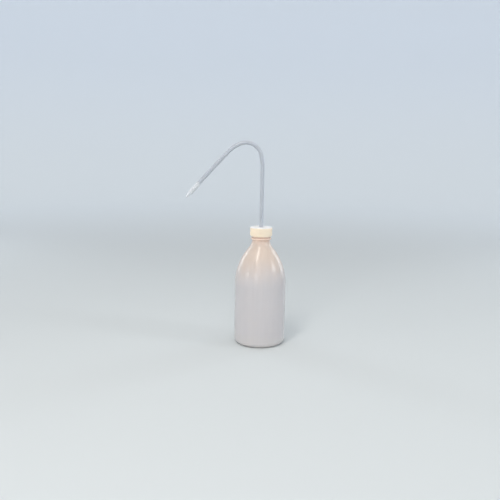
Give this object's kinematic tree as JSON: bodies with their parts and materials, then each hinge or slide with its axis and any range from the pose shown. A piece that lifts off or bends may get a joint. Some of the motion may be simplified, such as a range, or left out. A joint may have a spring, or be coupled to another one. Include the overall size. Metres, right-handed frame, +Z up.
{
  "type": "wash bottle",
  "caption": "Squeezable laboratory wash bottle: milky round bottle with a long shoulder, ribbed screw cap and a bent spout tube that ends in a small push-on jet.",
  "frame": {"origin": "centre of the standing ring, on the surface that the bottle stands on", "axes": "+Z up along the axis of the bottle and the stem, -X the way the spout points, Y across the spout"},
  "size_m": [0.1496, 0.076, 0.3013],
  "materials": {
    "bottle_milky": "satin, milky translucent blown polyethylene",
    "cap_white": "semi-gloss moulded polypropylene",
    "insert_natural": "satin, natural polyethylene",
    "tube_natural": "satin, translucent extruded polyethylene",
    "jet_white": "satin, natural moulded polyethylene"
  },
  "bodies": {
    "bottle": {"bottle": "bottle_milky"},
    "head": {"seal_insert": "insert_natural"},
    "cap": {"screw_cap": "cap_white"},
    "spout": {"spout_tube": "tube_natural", "jet_nozzle": "jet_white"}
  },
  "joints": [
    {"name": "closure_lift", "type": "slide", "parent": "bottle", "child": "head", "axis": [0, 0, 1], "range_m": [0, 0.0045]},
    {"name": "cap_turn", "type": "hinge", "parent": "head", "child": "cap", "pos_m": [0, 0, 0.17], "axis": [0, 0, 1], "range_deg": [0, 540]},
    {"name": "spout_swivel", "type": "hinge", "parent": "head", "child": "spout", "pos_m": [0, 0, 0.17], "axis": [0, 0, 1], "continuous": true}
  ],
  "couplings": [
    {"joint": "closure_lift", "follows": "cap_turn", "m_per_rad": 0.00047746}
  ]
}
